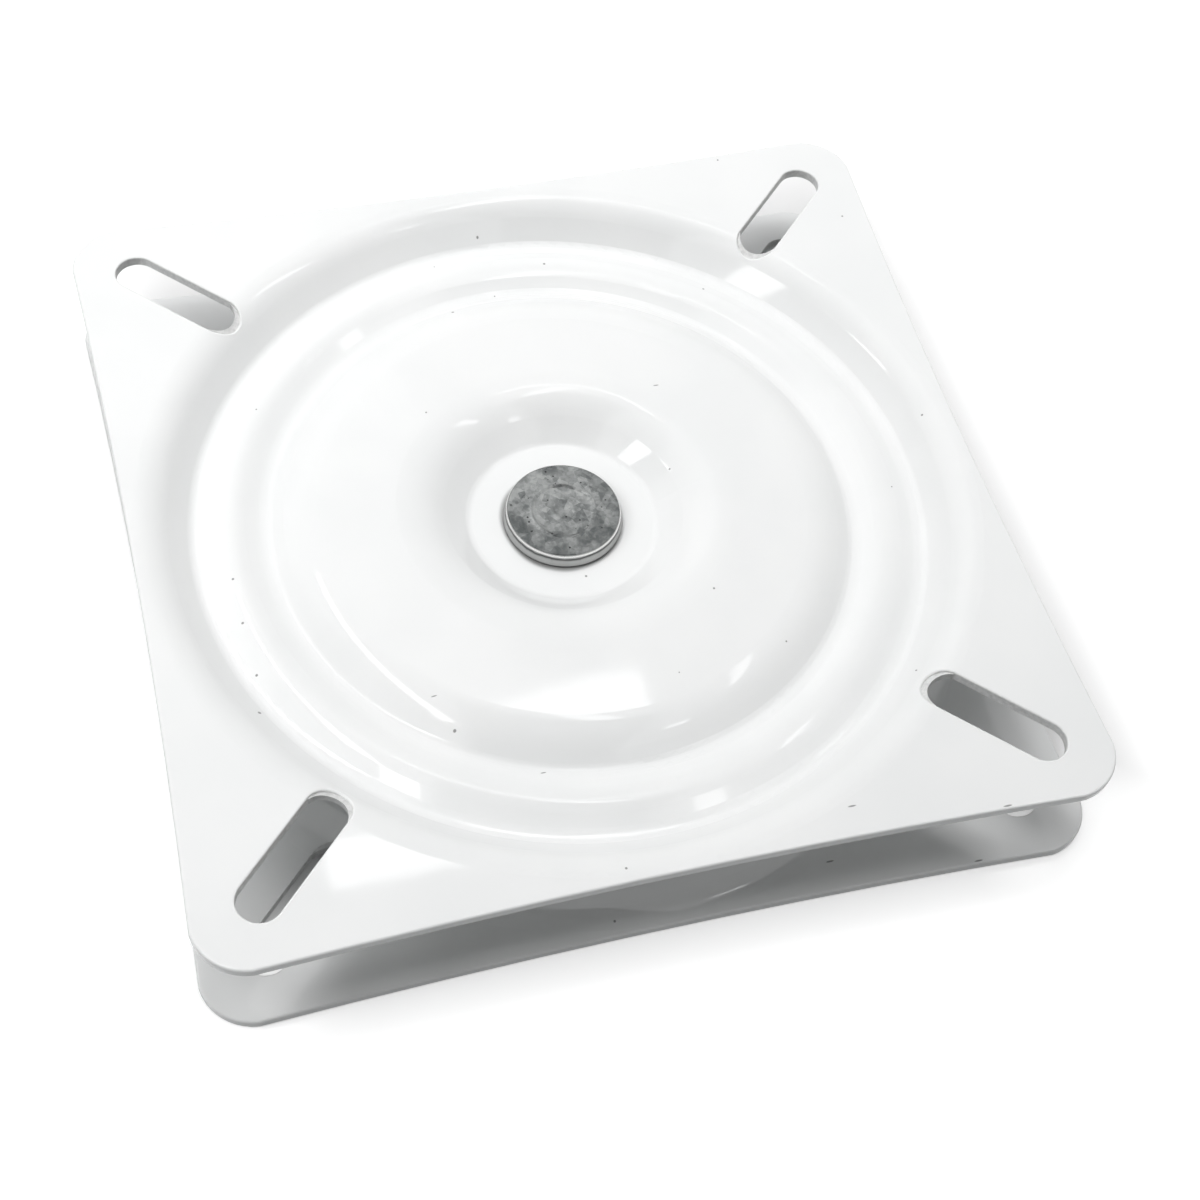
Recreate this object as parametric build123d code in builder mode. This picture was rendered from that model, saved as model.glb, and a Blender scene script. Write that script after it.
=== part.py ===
"""Seat swivel base: two pressed plates that turn on a ring of balls and a riveted pivot.

The swivel axis is Z. The lower plate's mounting face is at Z = 0, the plate sides run along X and Y.
"""

import os
from math import cos, radians, sin, tan

from build123d import *

# Plate blank
plate_side = 177.4
side_hollow = 1.9
corner_r = 10.9
corner_run = 2.5
corner_blend = 2.0
sheet_t = 2.2
total_h = 25.0
edge_round = 0.5

# Mounting slots, on the diagonals
slot_w = 8.8
slot_l = 30.0
slot_inset = 20.7
slot_round = 0.4

# Ball ring
ball_d = 10.0
ball_count = 24
race_inset = 21.3
race_clearance = 0.15
race_angle = 22.0
lip_catch = 1.7
lip_round = 4.0
lip_flat = 0.45
foot_round = 2.0
cage_t = 2.0
cage_land = 2.2
pocket_clearance = 0.25

# Pressed flanks and dome
rim_angle = 45.0
rim_round = 9.0
dome_rise = 3.6
dome_crown = 1.0
dome_angle = 32.0
dome_round = 14.0
hub_r = 19.5
hub_gap = 3.0
hub_angle = 34.0
hub_shoulder_round = 16.0
hub_round = 2.5

# Pivot rivet and spacer
shank_d = 14.0
running_clearance = 0.05
end_play = 0.1
head_base_d = 24.8
head_taper = 0.6
head_h = 3.2
head_round = 0.8
dish_d = 13.0
dish_depth = 0.25
spacer_d = 32.0

# Heights and radii that follow from the sizes above
mid_z = total_h / 2
hollow_half = plate_side / 2 - corner_r + corner_run
hollow_r = (hollow_half**2 + side_hollow**2) / (2 * side_hollow)
race_r = plate_side / 2 - race_inset
race_crest_r = ball_d / 2 + race_clearance + sheet_t
groove_z = mid_z + ball_d / 2 - lip_catch + sheet_t
dome_z = groove_z + dome_rise
shoulder_z = dome_z + dome_crown
hub_z = mid_z + hub_gap / 2 + sheet_t
half_rim = tan(radians(rim_angle / 2))
half_race = tan(radians(race_angle / 2))
half_dome = tan(radians(dome_angle / 2))

# Radii of the corners of the pressed section, worked outwards and inwards from the race
crest_z = mid_z + race_crest_r / cos(radians(race_angle))
race_run = (crest_z - groove_z) / tan(radians(race_angle))
outer_floor = lip_round * half_race + lip_flat + foot_round * half_rim
inner_floor = lip_round * half_race + lip_flat + foot_round * half_dome
outer_lip_r = race_r + race_run
rim_foot_r = outer_lip_r + outer_floor
rim_r = rim_foot_r + (total_h - groove_z) / tan(radians(rim_angle))
inner_lip_r = race_r - race_run
dome_foot_r = inner_lip_r - inner_floor
dome_r = dome_foot_r - dome_rise / tan(radians(dome_angle))
shoulder_r = hub_r + (shoulder_z - hub_z) / tan(radians(hub_angle))
hole_r = shank_d / 2 + running_clearance


def save(piece, name):
    piece.label = name
    export_step(piece, f"parts/{name}.step")


def on_swivel_axis(edge):
    if edge.geom_type != GeomType.CIRCLE:
        return False
    return abs(edge.arc_center.X) + abs(edge.arc_center.Y) < sheet_t


os.makedirs("parts", exist_ok=True)

# Upper plate: a constant sheet section turned about the axis, trimmed to the drawn-in square blank
with BuildPart() as top_plate:
    with BuildSketch(Plane.XZ):
        with BuildLine():
            FilletPolyline(
                (plate_side, total_h),
                (rim_r, total_h),
                (rim_foot_r, groove_z),
                (outer_lip_r, groove_z),
                (race_r, crest_z),
                (inner_lip_r, groove_z),
                (dome_foot_r, groove_z),
                (dome_r, dome_z),
                (shoulder_r, shoulder_z),
                (hub_r, hub_z),
                (hole_r, hub_z),
                radius=[
                    rim_round,
                    foot_round,
                    lip_round,
                    race_crest_r,
                    lip_round,
                    foot_round,
                    dome_round,
                    hub_shoulder_round,
                    hub_round,
                ],
            )
            offset(amount=sheet_t, side=Side.LEFT)
        make_face()
    revolve(axis=Axis.Z)
    with BuildSketch(Plane.XY) as blank:
        RectangleRounded(plate_side, plate_side, corner_r)
        with PolarLocations(plate_side / 2 - side_hollow + hollow_r, 4):
            Circle(hollow_r, mode=Mode.SUBTRACT)
        fillet(blank.vertices(), corner_blend)
    extrude(amount=total_h, mode=Mode.INTERSECT)
    with BuildSketch(Plane.XY):
        slot_place = plate_side / 2 - slot_inset
        with Locations((slot_place, slot_place), (-slot_place, -slot_place)):
            SlotOverall(slot_l, slot_w, rotation=45)
        with Locations((-slot_place, slot_place), (slot_place, -slot_place)):
            SlotOverall(slot_l, slot_w, rotation=-45)
    extrude(amount=total_h, mode=Mode.SUBTRACT)

    rim_flat = top_plate.faces().filter_by(Axis.Z).sort_by(Axis.Z)[-1]
    rim_curve = top_plate.faces().filter_by(GeomType.TORUS).sort_by(Axis.Z)[-1]
    other_edges = rim_flat.outer_wire().edges() + top_plate.edges().filter_by(on_swivel_axis)
    fillet([edge for edge in rim_flat.edges() + rim_curve.edges() if edge not in other_edges], slot_round)
    rim_flats = top_plate.faces().filter_by(Axis.Z).sort_by(Axis.Z)[-2:]
    fillet([edge for face in rim_flats for edge in face.outer_wire().edges()], edge_round)

save(top_plate.part, "top_plate")

# Lower plate: the same pressing turned over
with BuildPart() as bottom_plate:
    add(top_plate.part)
    mirror(about=Plane.XY.offset(mid_z), mode=Mode.REPLACE)

save(bottom_plate.part, "bottom_plate")

# Pivot rivet: one turned pin, its two heads formed over the hub floors
head_base_r = head_base_d / 2
head_top_r = head_base_r - head_taper
upper_seat_z = hub_z + end_play
lower_seat_z = total_h - hub_z
with BuildPart() as pivot_rivet:
    with BuildSketch(Plane.XZ):
        with BuildLine():
            FilletPolyline(
                (0, lower_seat_z - head_h),
                (head_top_r, lower_seat_z - head_h),
                (head_base_r, lower_seat_z),
                (shank_d / 2, lower_seat_z),
                radius=[head_round, head_round / 2],
            )
            Polyline((shank_d / 2, lower_seat_z), (shank_d / 2, upper_seat_z))
            FilletPolyline(
                (shank_d / 2, upper_seat_z),
                (head_base_r, upper_seat_z),
                (head_top_r, upper_seat_z + head_h),
                (dish_d / 2 + dish_depth, upper_seat_z + head_h),
                (dish_d / 2 - dish_depth, upper_seat_z + head_h - dish_depth),
                (0, upper_seat_z + head_h - dish_depth),
                radius=[head_round / 2, head_round, dish_depth, dish_depth],
            )
            Line((0, upper_seat_z + head_h - dish_depth), (0, lower_seat_z - head_h))
        make_face()
    revolve(axis=Axis.Z)

save(pivot_rivet.part, "pivot_rivet")

# Spacer washer: keeps the hub floors apart, with end play under the upper plate
with BuildPart() as spacer_washer:
    with BuildSketch(Plane.XY.offset(mid_z - hub_gap / 2)):
        Circle(spacer_d / 2)
        Circle(hole_r, mode=Mode.SUBTRACT)
    extrude(amount=hub_gap - end_play)

save(spacer_washer.part, "spacer_washer")

# Cage: a flat ring in the middle plane with one pocket for each ball
pocket_r = ball_d / 2 + pocket_clearance
with BuildPart() as ball_cage:
    with BuildSketch(Plane.XY.offset(mid_z - cage_t / 2)):
        Circle(race_r + pocket_r + cage_land)
        Circle(race_r - pocket_r - cage_land, mode=Mode.SUBTRACT)
        with PolarLocations(race_r, ball_count):
            Circle(pocket_r, mode=Mode.SUBTRACT)
    extrude(amount=cage_t)

save(ball_cage.part, "ball_cage")

# Balls: one in each pocket
for number in range(ball_count):
    turn = radians(360 * number / ball_count)
    with BuildPart() as bearing_ball:
        with Locations((race_r * cos(turn), race_r * sin(turn), mid_z)):
            Sphere(ball_d / 2)
    save(bearing_ball.part, f"bearing_ball_{number + 1:02d}")
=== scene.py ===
"""Seat swivel base: finishes, slot lips, studio floor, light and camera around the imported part."""
import math

import bpy
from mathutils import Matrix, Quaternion, Vector


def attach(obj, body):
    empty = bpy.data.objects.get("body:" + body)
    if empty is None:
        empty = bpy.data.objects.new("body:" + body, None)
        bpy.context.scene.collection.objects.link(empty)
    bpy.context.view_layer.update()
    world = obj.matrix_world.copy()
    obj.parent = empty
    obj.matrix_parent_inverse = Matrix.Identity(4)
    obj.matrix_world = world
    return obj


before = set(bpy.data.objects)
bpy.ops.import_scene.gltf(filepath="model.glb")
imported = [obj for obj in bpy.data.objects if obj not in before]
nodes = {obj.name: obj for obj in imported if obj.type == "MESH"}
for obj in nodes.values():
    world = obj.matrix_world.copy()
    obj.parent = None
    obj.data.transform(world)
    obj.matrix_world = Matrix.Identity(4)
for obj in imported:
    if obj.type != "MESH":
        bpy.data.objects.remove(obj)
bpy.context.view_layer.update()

# Sizes of the pressing that the finishes and the slot lips follow, in metres
PLATE_TOP = 0.025
PLATE_HALF = 0.0886
MID_HEIGHT = PLATE_TOP / 2
SHEET = 0.0022
SLOT_CENTRE = 0.0680 * math.sqrt(2)
SLOT_HALF_RUN = 0.0106
SLOT_HALF_WIDTH = 0.0044
SLOT_ROUND = 0.0004
SLOT_INNER_END = SLOT_CENTRE - SLOT_HALF_RUN
RIM_START = 0.0862
RIM_ROUND = 0.009

# Rivet head: radii, and heights above the middle plane
HEAD_FACE_RADIUS = 0.0114
HEAD_FOOT_RADIUS = 0.0124
DISH_RADIUS = 0.0065
INNER_RING_RADIUS = 0.0023
HEAD_LINE_LIFT = 0.0061
HEAD_RIM_LIFT = 0.00668
HEAD_FOOT_LIFT = 0.0040

# Slot lips: how far the sheet is drawn in, over what height
LIP_DRAW = 0.0012
LIP_DEPTH = SHEET - SLOT_ROUND
LIP_BITE = 0.00003
LIP_SPARE = 0.0002
LIP_SIDES = 64

ENAMEL_IOR = 1.52
EULER = 2.718


# Node helpers
def connect(tree, socket, value):
    if isinstance(value, bpy.types.NodeSocket):
        tree.links.new(value, socket)
    else:
        socket.default_value = value


def put(tree, kind, sockets=None, **settings):
    made = tree.nodes.new(kind)
    for name, value in settings.items():
        setattr(made, name, value)
    for socket, value in (sockets or {}).items():
        connect(tree, made.inputs[socket], value)
    return made


def calc(tree, operation, *values, clamp=False):
    sockets = dict(enumerate(values))
    return put(tree, "ShaderNodeMath", sockets, operation=operation, use_clamp=clamp).outputs[0]


def measure(tree, operation, *vectors):
    sockets = dict(enumerate(vectors))
    return put(tree, "ShaderNodeVectorMath", sockets, operation=operation).outputs["Value"]


def ease(tree, value, low, high):
    sockets = {"Value": value, "From Min": low, "From Max": high}
    return put(tree, "ShaderNodeMapRange", sockets, interpolation_type="SMOOTHSTEP").outputs["Result"]


def blend_colour(tree, factor, first, second):
    made = put(tree, "ShaderNodeMix", {"Factor": factor}, data_type="RGBA")
    for socket, value in ((made.inputs[6], first), (made.inputs[7], second)):
        connect(tree, socket, (*value, 1.0) if isinstance(value, tuple) else value)
    return made.outputs[2]


def split(tree, place):
    return put(tree, "ShaderNodeSeparateXYZ", {"Vector": place}).outputs


def flatten(tree, parts):
    return put(tree, "ShaderNodeCombineXYZ", {"X": parts["X"], "Y": parts["Y"]}).outputs["Vector"]


def ring_profile(tree, radius, centre, spread):
    away = calc(tree, "DIVIDE", calc(tree, "SUBTRACT", radius, centre), spread)
    return calc(tree, "POWER", EULER, calc(tree, "MULTIPLY", calc(tree, "MULTIPLY", away, away), -1.0))


def start_group(name, inputs, outputs):
    group = bpy.data.node_groups.new(name, "ShaderNodeTree")
    for label, kind, value in inputs:
        socket = group.interface.new_socket(label, in_out="INPUT", socket_type=kind)
        if value is not None:
            socket.default_value = value
    for label, kind in outputs:
        group.interface.new_socket(label, in_out="OUTPUT", socket_type=kind)
    given = group.nodes.new("NodeGroupInput").outputs
    return group, given, group.nodes.new("NodeGroupOutput").inputs


def use_group(tree, group, sockets):
    made = tree.nodes.new("ShaderNodeGroup")
    made.node_tree = group
    for socket, value in sockets.items():
        connect(tree, made.inputs[socket], value)
    return made.outputs


VECTOR, FLOAT = "NodeSocketVector", "NodeSocketFloat"

# Slow change of tone over a surface, from 0 to 1
tone_drift, given, result = start_group(
    "tone_drift",
    [("Place", VECTOR, None), ("Patch Size", FLOAT, 0.03), ("Detail", FLOAT, 3.0)],
    [("Tone", FLOAT)])
noise = put(tone_drift, "ShaderNodeTexNoise", {
    "Vector": given["Place"],
    "Scale": calc(tone_drift, "DIVIDE", 1.0, given["Patch Size"]),
    "Detail": given["Detail"],
    "Roughness": 0.55})
tone_drift.links.new(ease(tone_drift, noise.outputs["Fac"], 0.3, 0.7), result["Tone"])

# Scattered small marks seen from above: a share of the cells carries one mark each
marks, given, result = start_group(
    "scattered_marks",
    [("Place", VECTOR, None), ("Spacing", FLOAT, 0.01), ("Radius", FLOAT, 0.0003), ("Share", FLOAT, 0.1)],
    [("Mask", FLOAT)])
cells = put(
    marks, "ShaderNodeTexVoronoi",
    {"Vector": given["Place"], "Scale": calc(marks, "DIVIDE", 1.0, given["Spacing"])},
    voronoi_dimensions="2D", feature="F1")
reach = calc(marks, "MULTIPLY", cells.outputs["Distance"], given["Spacing"])
lot = put(marks, "ShaderNodeSeparateColor", {"Color": cells.outputs["Color"]}).outputs
chosen = calc(marks, "LESS_THAN", lot["Red"], given["Share"])
swell = calc(marks, "MULTIPLY_ADD", lot["Green"], 0.8, 0.4)
size = calc(marks, "MULTIPLY", given["Radius"], swell)
near = calc(marks, "SUBTRACT", 1.0, calc(marks, "DIVIDE", reach, size), clamp=True)
marks.links.new(calc(marks, "MULTIPLY", ease(marks, near, 0.0, 0.5), chosen), result["Mask"])

# Relief of a coated or struck surface: broad waves with a fine grain on top, in metres
relief, given, result = start_group(
    "surface_relief",
    [("Place", VECTOR, None), ("Wave Size", FLOAT, 0.012), ("Wave Height", FLOAT, 0.00001),
     ("Grain Size", FLOAT, 0.001), ("Grain Height", FLOAT, 0.000002)],
    [("Height", FLOAT)])
waves, grain = [
    put(relief, "ShaderNodeTexNoise", {
        "Vector": given["Place"],
        "Scale": calc(relief, "DIVIDE", 1.0, given[kind + " Size"]),
        "Detail": detail})
    for kind, detail in (("Wave", 1.0), ("Grain", 2.0))]
fine = calc(relief, "MULTIPLY", grain.outputs["Fac"], given["Grain Height"])
height = calc(relief, "MULTIPLY_ADD", waves.outputs["Fac"], given["Wave Height"], fine)
relief.links.new(height, result["Height"])


def drifting(tree, place, patch, detail):
    return use_group(tree, tone_drift, {"Place": place, "Patch Size": patch, "Detail": detail})["Tone"]


def scattered(tree, place, spacing, radius, share):
    sockets = {"Place": place, "Spacing": spacing, "Radius": radius, "Share": share}
    return use_group(tree, marks, sockets)["Mask"]


def wavy(tree, place, wave_size, wave_height, grain_size, grain_height):
    sockets = {
        "Place": place,
        "Wave Size": wave_size, "Wave Height": wave_height,
        "Grain Size": grain_size, "Grain Height": grain_height}
    return use_group(tree, relief, sockets)["Height"]


# Materials
def new_material(name):
    material = bpy.data.materials.new(name)
    material.use_nodes = True
    tree = material.node_tree
    tree.nodes.clear()
    output = tree.nodes.new("ShaderNodeOutputMaterial")
    shader = tree.nodes.new("ShaderNodeBsdfPrincipled")
    tree.links.new(shader.outputs["BSDF"], output.inputs["Surface"])
    place = tree.nodes.new("ShaderNodeTexCoord").outputs["Object"]
    return material, tree, shader, place


def feed(tree, shader, colour, roughness, height):
    tree.links.new(colour, shader.inputs["Base Color"])
    tree.links.new(roughness, shader.inputs["Roughness"])
    bump = put(tree, "ShaderNodeBump", {"Height": height, "Strength": 1.0, "Distance": 1.0})
    tree.links.new(bump.outputs["Normal"], shader.inputs["Normal"])


def slot_wall_mask(tree, parts):
    """1 on the punched walls of the four diagonal slots, 0 elsewhere."""
    across_x = calc(tree, "ABSOLUTE", parts["X"])
    across_y = calc(tree, "ABSOLUTE", parts["Y"])
    outwards = calc(tree, "MULTIPLY", calc(tree, "ADD", across_x, across_y), math.sqrt(0.5))
    along = calc(tree, "ABSOLUTE", calc(tree, "SUBTRACT", outwards, SLOT_CENTRE))
    side = calc(tree, "MULTIPLY", calc(tree, "SUBTRACT", across_x, across_y), math.sqrt(0.5))
    past = calc(tree, "MAXIMUM", calc(tree, "SUBTRACT", along, SLOT_HALF_RUN), 0.0)
    squares = calc(tree, "ADD", calc(tree, "MULTIPLY", past, past), calc(tree, "MULTIPLY", side, side))
    reach = calc(tree, "SQRT", squares)
    outside = ease(tree, reach, SLOT_HALF_WIDTH + 0.00005, SLOT_HALF_WIDTH + 0.0003)
    return calc(tree, "SUBTRACT", 1.0, outside)


def make_white_enamel():
    material, tree, shader, place = new_material("white_enamel")
    shader.inputs["IOR"].default_value = ENAMEL_IOR
    tone = drifting(tree, place, patch=0.028, detail=2.0)
    coat = blend_colour(tree, tone, (0.847, 0.857, 0.856), (0.873, 0.880, 0.878))

    # Dark specks, and longer nicks that all lie one way
    specks = scattered(tree, place, spacing=0.0115, radius=0.00034, share=0.14)
    turned = put(tree, "ShaderNodeMapping", {
        "Vector": place, "Rotation": (0, 0, 0.9), "Scale": (0.22, 1.0, 1.0)}).outputs["Vector"]
    nicks = scattered(tree, turned, spacing=0.0085, radius=0.00022, share=0.07)
    dirt = calc(tree, "MULTIPLY", calc(tree, "MAXIMUM", specks, nicks), 0.72)
    marked = blend_colour(tree, dirt, coat, (0.10, 0.10, 0.095))

    # Punched slot walls: thin, grainy enamel over the sheared steel
    parts = split(tree, place)
    wall = slot_wall_mask(tree, parts)
    shear = drifting(tree, place, patch=0.0009, detail=4.0)
    sheared = blend_colour(tree, shear, (0.72, 0.725, 0.72), (0.86, 0.862, 0.858))
    walled = blend_colour(tree, wall, marked, sheared)

    # Painted contact shade with some grime round the rivet's foot
    radius = measure(tree, "LENGTH", flatten(tree, parts))
    ragged_foot_radius = calc(tree, "MULTIPLY_ADD", calc(tree, "SUBTRACT", tone, 0.5), 0.0008, radius)
    beyond = ease(tree, ragged_foot_radius, HEAD_FOOT_RADIUS - 0.0002, HEAD_FOOT_RADIUS + 0.0009)
    grime_and_contact_shade = calc(tree, "MULTIPLY", calc(tree, "SUBTRACT", 1.0, beyond), 0.6)
    colour = blend_colour(tree, grime_and_contact_shade, walled, (0.09, 0.09, 0.088))

    gloss = calc(tree, "MULTIPLY_ADD", wall, 0.4, 0.035)
    roughness = calc(tree, "MULTIPLY_ADD", tone, 0.03, gloss)
    skin = wavy(
        tree, place, wave_size=0.011, wave_height=0.000012, grain_size=0.0011, grain_height=0.0000011)
    rough_wall = wavy(
        tree, place, wave_size=0.0012, wave_height=0.00004, grain_size=0.0003, grain_height=0.000014)
    nicked = calc(tree, "SUBTRACT", skin, calc(tree, "MULTIPLY", dirt, 0.00002))
    feed(tree, shader, colour, roughness, calc(tree, "MULTIPLY_ADD", wall, rough_wall, nicked))
    return material


def make_drawn_enamel():
    material, tree, shader, place = new_material("drawn_enamel")
    shader.inputs["IOR"].default_value = ENAMEL_IOR
    tone = drifting(tree, place, patch=0.0011, detail=4.0)
    colour = blend_colour(tree, tone, (0.58, 0.584, 0.58), (0.74, 0.742, 0.738))
    roughness = calc(tree, "MULTIPLY_ADD", tone, 0.15, 0.3)
    height = wavy(
        tree, place, wave_size=0.0012, wave_height=0.00003, grain_size=0.0003, grain_height=0.00001)
    feed(tree, shader, colour, roughness, height)
    return material


def make_zinc_rivet():
    material, tree, shader, place = new_material("zinc_rivet")
    shader.inputs["Metallic"].default_value = 1.0
    parts = split(tree, place)
    flat = flatten(tree, parts)
    radius = measure(tree, "LENGTH", flat)
    lift = calc(tree, "ABSOLUTE", calc(tree, "SUBTRACT", parts["Z"], MID_HEIGHT))
    wander = put(tree, "ShaderNodeTexNoise", {
        "Vector": place, "Scale": 320.0, "Detail": 3.0}).outputs["Fac"]
    stray = calc(tree, "SUBTRACT", wander, 0.5)

    # Struck face: zinc in patches over patches
    broad = drifting(tree, place, patch=0.0046, detail=4.0)
    grains = []
    for scale in (620.0, 1500.0):
        cell = put(tree, "ShaderNodeTexVoronoi", {"Vector": place, "Scale": scale}, voronoi_dimensions="2D")
        lot = put(tree, "ShaderNodeSeparateColor", {"Color": cell.outputs["Color"]}).outputs
        grains.append(lot["Red"])
    tone = calc(tree, "MULTIPLY", broad, 0.36)
    tone = calc(tree, "MULTIPLY_ADD", grains[1], 0.24, tone)
    tone = calc(tree, "MULTIPLY_ADD", grains[0], 0.40, tone)
    face = blend_colour(tree, ease(tree, tone, 0.05, 0.95), (0.135, 0.143, 0.143), (0.42, 0.43, 0.425))

    # Stain towards the rim, shifted to one side as painted shade that stands in for a reflection, and pits
    from_lit_side = measure(tree, "DISTANCE", flat, (0.0002, 0.0043, 0))
    spread = ease(tree, calc(tree, "MULTIPLY_ADD", stray, 0.0018, from_lit_side), 0.006, 0.0135)
    patchy = calc(tree, "MULTIPLY_ADD", ease(tree, wander, 0.4, 0.62), 0.6, 0.4)
    stain_and_shade = calc(tree, "MULTIPLY", calc(tree, "MULTIPLY", patchy, spread), 0.75)
    stained_and_shaded = blend_colour(tree, stain_and_shade, face, (0.075, 0.082, 0.082))
    pits = scattered(tree, place, spacing=0.0013, radius=0.00028, share=0.11)
    pitted = blend_colour(tree, calc(tree, "MULTIPLY", pits, 0.85), stained_and_shaded, (0.02, 0.02, 0.02))

    # Side: light turned wall with a painted dark reflection line, a painted highlight along the upper edge
    # and painted contact shadow at the foot
    wall = ease(tree, radius, HEAD_FACE_RADIUS, HEAD_FACE_RADIUS + 0.0003)
    ragged_lift = calc(tree, "MULTIPLY_ADD", stray, 0.0008, lift)
    dark_reflection_line = calc(tree, "MULTIPLY", ring_profile(tree, ragged_lift, HEAD_LINE_LIFT, 0.00032), 0.9)
    foot_shadow = calc(tree, "SUBTRACT", 1.0, ease(tree, lift, HEAD_FOOT_LIFT, HEAD_FOOT_LIFT + 0.0005))
    shaded = calc(tree, "MAXIMUM", dark_reflection_line, foot_shadow)
    side = blend_colour(tree, shaded, (0.44, 0.445, 0.44), (0.05, 0.05, 0.05))
    # Painted highlight along the rim, where the finish is also made less rough
    rim_highlight = calc(tree, "MULTIPLY", wall, ring_profile(tree, lift, HEAD_RIM_LIFT, 0.00016))
    side = blend_colour(tree, rim_highlight, side, (0.88, 0.88, 0.87))
    colour = blend_colour(tree, wall, pitted, side)
    dull = calc(tree, "MULTIPLY_ADD", tone, 0.2, 0.26)
    roughness = calc(tree, "SUBTRACT", dull, calc(tree, "MULTIPLY", rim_highlight, 0.15))

    # Relief: two raised rings from the forming tool on a hammered face
    ragged = calc(tree, "MULTIPLY_ADD", stray, 0.0018, radius)
    inner_ring, outer_ring = [
        calc(tree, "MULTIPLY", ring_profile(tree, ragged, centre, 0.0005), rise)
        for centre, rise in ((INNER_RING_RADIUS, 0.0001), (DISH_RADIUS, 0.00017))]
    rings = calc(tree, "ADD", inner_ring, outer_ring)
    struck = wavy(
        tree, place, wave_size=0.003, wave_height=0.00022, grain_size=0.0006, grain_height=0.00006)
    hammered = calc(tree, "MULTIPLY", struck, calc(tree, "SUBTRACT", 1.0, wall))
    height = calc(tree, "ADD", rings, hammered)
    feed(tree, shader, colour, roughness, calc(tree, "MULTIPLY_ADD", pits, -0.00006, height))
    return material


def make_plain(name, dark, light, roughness, patch, metallic=1.0):
    """Finish of a hidden piece: drifting tone with small dark marks."""
    material, tree, shader, place = new_material(name)
    shader.inputs["Metallic"].default_value = metallic
    tone = drifting(tree, place, patch=patch, detail=3.0)
    spots = scattered(tree, place, spacing=0.003, radius=0.0002, share=0.12)
    base = blend_colour(tree, tone, dark, light)
    colour = blend_colour(tree, calc(tree, "MULTIPLY", spots, 0.5), base, (0.05, 0.045, 0.04))
    height = wavy(
        tree, place, wave_size=0.004, wave_height=0.000006, grain_size=0.0004, grain_height=0.000003)
    feed(tree, shader, colour, calc(tree, "MULTIPLY_ADD", tone, 0.12, roughness), height)
    return material


enamel = make_white_enamel()
ball_steel = make_plain("ball_steel", (0.56, 0.56, 0.57), (0.68, 0.68, 0.69), 0.08, 0.004)
finishes = {
    "top_plate": enamel,
    "bottom_plate": enamel,
    "pivot_rivet": make_zinc_rivet(),
    "ball_cage": make_plain("cage_steel", (0.30, 0.29, 0.27), (0.46, 0.455, 0.44), 0.32, 0.012),
    "spacer_washer": make_plain(
        "nylon", (0.70, 0.675, 0.60), (0.80, 0.78, 0.72), 0.4, 0.006, metallic=0.0),
}
for name, node in nodes.items():
    node.data.materials.clear()
    node.data.materials.append(finishes.get(name, ball_steel))


# Slot lips: the pressing drew the sheet down at the slots' inner ends, a sloping crescent each
def pick(piece):
    bpy.ops.object.select_all(action="DESELECT")
    bpy.context.view_layer.objects.active = piece
    piece.select_set(True)


def add_cylinder(radius, depth):
    bpy.ops.object.select_all(action="DESELECT")
    bpy.ops.mesh.primitive_cylinder_add(vertices=LIP_SIDES, radius=radius, depth=depth)
    return bpy.context.object


# Half a disc as deep as the slot's wall
lip = add_cylinder(SLOT_HALF_WIDTH + LIP_BITE, LIP_DEPTH)
bpy.ops.object.mode_set(mode="EDIT")
bpy.ops.mesh.select_all(action="SELECT")
bpy.ops.mesh.bisect(plane_co=(0, 0, 0), plane_no=(1, 0, 0), clear_outer=True, use_fill=True)
bpy.ops.object.mode_set(mode="OBJECT")

# A leaning punch leaves the crescent
punch = add_cylinder(SLOT_HALF_WIDTH, LIP_DEPTH + 2 * LIP_SPARE)
slope = LIP_DRAW / LIP_DEPTH
for end, shift in ((1, -slope * LIP_SPARE), (-1, LIP_DRAW + slope * LIP_SPARE)):
    for vertex in punch.data.vertices:
        vertex.select = vertex.co.z * end > 0
    bpy.ops.object.mode_set(mode="EDIT")
    bpy.ops.transform.translate(value=(shift, 0, 0))
    bpy.ops.object.mode_set(mode="OBJECT")
pick(lip)
cut = lip.modifiers.new("punch", "BOOLEAN")
cut.operation = "DIFFERENCE"
cut.solver = "EXACT"
cut.object = punch
bpy.ops.object.modifier_apply(modifier="punch")
bpy.ops.object.shade_smooth_by_angle(angle=math.radians(40))
bpy.data.objects.remove(punch)

# The crescent follows the bend of the margin and starts under the slot's rounded edge
for vertex in lip.data.vertices:
    bend = max(RIM_START - math.hypot(SLOT_INNER_END + vertex.co.x, vertex.co.y), 0.0)
    fall = RIM_ROUND - math.sqrt(RIM_ROUND**2 - bend**2)
    round_run = SLOT_ROUND / math.tan(math.pi / 4 - math.asin(bend / RIM_ROUND) / 2)
    vertex.co.z -= fall + round_run - SLOT_ROUND
lip.data.materials.append(make_drawn_enamel())

# One copy in each slot of both plates
for body, height, tip in (
    ("upper_plate", PLATE_TOP - SLOT_ROUND - LIP_DEPTH / 2, 0),
    ("lower_plate", SLOT_ROUND + LIP_DEPTH / 2, math.pi),
):
    for corner in range(4):
        heading = math.radians(45 + 90 * corner)
        piece = lip.copy()
        piece.data = lip.data.copy()
        piece.name = f"slot_lip_{body[:5]}_{corner + 1}"
        bpy.context.scene.collection.objects.link(piece)
        piece.location = (SLOT_INNER_END * math.cos(heading), SLOT_INNER_END * math.sin(heading), height)
        piece.rotation_euler = (tip, 0, heading)
        pick(piece)
        bpy.ops.object.transform_apply(location=True, rotation=True, scale=True)
        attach(piece, body)
bpy.data.objects.remove(lip)


# Studio
def seen_directly(tree):
    path = tree.nodes.new("ShaderNodeLightPath").outputs
    direct = calc(tree, "MAXIMUM", path["Is Camera Ray"], path["Is Transmission Ray"])
    return calc(tree, "MAXIMUM", direct, path["Is Glossy Ray"])


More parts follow.
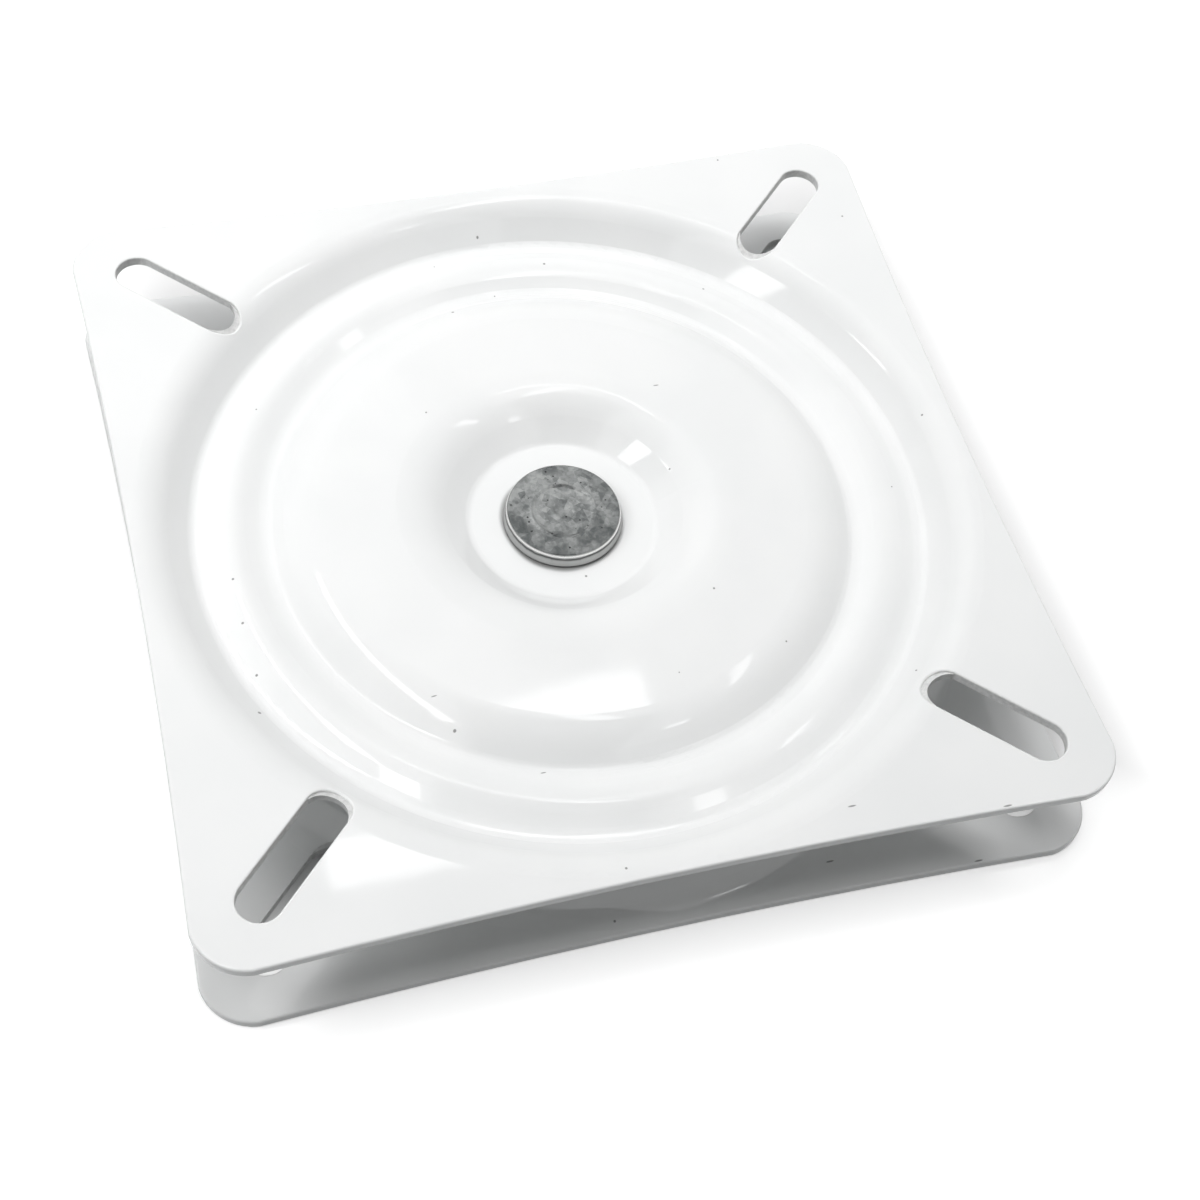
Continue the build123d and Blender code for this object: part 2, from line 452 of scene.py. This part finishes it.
def stage_plane(name, size, place, turn=(0, 0, 0)):
    bpy.ops.object.select_all(action="DESELECT")
    bpy.ops.mesh.primitive_plane_add(size=1.0, location=place, rotation=turn)
    plane = bpy.context.object
    plane.name = name
    plane.scale = (*size, 1.0)
    return plane


# Floor: white paper that keeps the part's shadow, brighter the further it lies from the part; round the
# part a painted shadow, offset to one side, darkens the paper and dims its glow
FLOOR_SIZE = (6.0, 6.0)
FLOOR_HEIGHT = -0.00005
SHADE_MIDDLE_X, SHADE_MIDDLE_Y = 0.010, 0.019
floor = stage_plane("studio_floor", FLOOR_SIZE, (0, 0, FLOOR_HEIGHT))
paper = bpy.data.materials.new("studio_paper")
paper.use_nodes = True
tree = paper.node_tree
tree.nodes.clear()
spot = tree.nodes.new("ShaderNodeNewGeometry").outputs["Position"]
parts = split(tree, spot)
seen = seen_directly(tree)
beside = calc(tree, "ABSOLUTE", calc(tree, "SUBTRACT", parts["X"], SHADE_MIDDLE_X))
beyond = calc(tree, "ABSOLUTE", calc(tree, "SUBTRACT", parts["Y"], SHADE_MIDDLE_Y))
furthest = calc(tree, "MAXIMUM", beside, beyond)
# Painted shadow round the part: inside this square the paper is darker and its glow weaker
clear = ease(tree, furthest, PLATE_HALF - 0.012, PLATE_HALF + 0.022)
distant = ease(tree, measure(tree, "LENGTH", spot), 0.25, 1.2)
white = calc(tree, "MULTIPLY_ADD", distant, 0.5, 0.5)
tone = drifting(tree, spot, patch=0.02, detail=4.0)
pale = blend_colour(tree, tone, (0.91, 0.91, 0.91), (0.93, 0.93, 0.93))
paper_with_painted_shadow = blend_colour(tree, clear, (0.85, 0.85, 0.85), pale)
colour = blend_colour(tree, seen, (0.24, 0.252, 0.254), paper_with_painted_shadow)
strength = calc(tree, "MULTIPLY", calc(tree, "MULTIPLY", seen, clear), white)
matt = put(tree, "ShaderNodeBsdfDiffuse", {"Color": colour})
glow = put(tree, "ShaderNodeEmission", {"Strength": strength})
both = put(tree, "ShaderNodeAddShader", {0: matt.outputs[0], 1: glow.outputs[0]})
put(tree, "ShaderNodeOutputMaterial", {"Surface": both.outputs[0]})
floor.data.materials.append(paper)

# Room: white where it is seen or mirrored, with a soft band of fill at middle height
FILL_LEVEL = 0.44
world = bpy.data.worlds.new("studio_air")
bpy.context.scene.world = world
world.use_nodes = True
tree = world.node_tree
outward = tree.nodes.new("ShaderNodeTexCoord").outputs["Generated"]
steepness = split(tree, outward)["Z"]
band = calc(tree, "SUBTRACT", ease(tree, steepness, 0.22, 0.38), ease(tree, steepness, 0.62, 0.78))
fill = calc(tree, "MULTIPLY", band, FILL_LEVEL)
level = calc(tree, "MULTIPLY_ADD", seen_directly(tree), calc(tree, "SUBTRACT", 1.0, fill), fill)
background = tree.nodes["Background"]
background.inputs["Color"].default_value = (1, 1, 1, 1)
tree.links.new(level, background.inputs["Strength"])

# Camera: the photograph's viewpoint
CAMERA_DISTANCE = 0.400816
FOCAL_PIXELS, PICTURE_PIXELS, SENSOR = 2042.723, 1200, 36.0
azimuth, elevation, roll = math.radians(-22.6), math.radians(55.682), math.radians(8.902)
target = Vector((0.000014, -0.026592, PLATE_TOP))
back = Vector((
    math.sin(azimuth) * math.cos(elevation),
    -math.cos(azimuth) * math.cos(elevation),
    math.sin(elevation)))
lens = bpy.data.cameras.new("photo_camera")
camera = bpy.data.objects.new("photo_camera", lens)
bpy.context.scene.collection.objects.link(camera)
lens.sensor_width = SENSOR
lens.lens = SENSOR * FOCAL_PIXELS / PICTURE_PIXELS
lens.clip_start = 0.01
camera.location = target + back * CAMERA_DISTANCE
camera.rotation_mode = "QUATERNION"
camera.rotation_quaternion = (-back).to_track_quat("-Z", "Y") @ Quaternion((0, 0, 1), roll)
bpy.context.scene.camera = camera


def softbox(name, place, aim, width, height, power):
    lamp = bpy.data.lights.new(name, "AREA")
    lamp.shape = "RECTANGLE"
    lamp.size = width
    lamp.size_y = height
    lamp.energy = power
    holder = bpy.data.objects.new(name, lamp)
    bpy.context.scene.collection.objects.link(holder)
    holder.location = place
    holder.rotation_euler = (Vector(aim) - Vector(place)).to_track_quat("-Z", "Y").to_euler()
    return holder


# Panels that light the part: one beyond it, one on the left and a weaker one on the right
PANEL_AIM = (0, 0, 0.02)
for name, place, width, height, power in (
    ("far_panel", (0.09, 0.36, 0.95), 0.6, 0.5, 5.2),
    ("left_panel", (-0.55, 0, 0.85), 0.5, 0.75, 4.95),
    ("right_panel", (0.37, 0, 0.95), 0.5, 0.5, 1.84),
):
    softbox(name, place, PANEL_AIM, width, height, power).visible_glossy = False

# Two long tubes on the right, for the gloss alone
TUBE_WIDTH, TUBE_HEIGHT, TUBE_WATTS_A_METRE = 0.05, 0.9, 0.5
across, run = Vector((0.956, 0.292, 0)), Vector((0.292, -0.956, 0))
for name, distance, start, end in (
    ("right_tube_near", 0.197, -0.24, 0.15),
    ("right_tube_far", 0.457, -0.15, 0.12),
):
    length = end - start
    middle = across * distance + run * (start + end) / 2 + Vector((0, 0, TUBE_HEIGHT))
    below = middle - Vector((0, 0, 1))
    tube = softbox(name, middle, below, TUBE_WIDTH, length, TUBE_WATTS_A_METRE * length)
    tube.rotation_euler = (0, 0, math.atan2(run.y, run.x) - math.pi / 2)
    tube.visible_diffuse = False

# A window and small lamps, for the gloss alone
for name, place, aim, width, height, power in (
    ("far_left_window", (-0.46, 0.734, 0.91), (-0.344, 0.075, 0.167), 1.15, 0.84, 1.4),
    ("right_ceiling_lamp", (0.55, -0.51, 1.38), (0.55, -0.51, 0), 0.14, 0.14, 0.2),
    ("left_bar", (-0.105, 0.003, 0.17), (-0.105, 0.003, 0), 0.02, 0.17, 0.05),
    ("ceiling_bar", (0.12, 0.36, 0.9), (0.12, 0.36, 0), 0.24, 0.035, 0.1),
):
    shape = softbox(name, place, aim, width, height, power)
    shape.visible_diffuse = False
    shape.visible_camera = False

# The dark side of the room behind the camera
SCREEN_SIZE = (0.28, 0.62)
sideways = back.cross(Vector((0, 0, 1))).normalized() * -1
upwards = sideways.cross(-back)
middle = camera.location + back * 0.03 + sideways * 0.02 + upwards * 0.16
screen = stage_plane("dark_screen", SCREEN_SIZE, middle, back.to_track_quat("Z", "Y").to_euler())
screen.visible_camera = False
felt, _, shader, _ = new_material("dark_felt")
shader.inputs["Base Color"].default_value = (0.05, 0.05, 0.05, 1)
shader.inputs["Roughness"].default_value = 1.0
screen.data.materials.append(felt)

bpy.context.scene.view_settings.view_transform = "Standard"
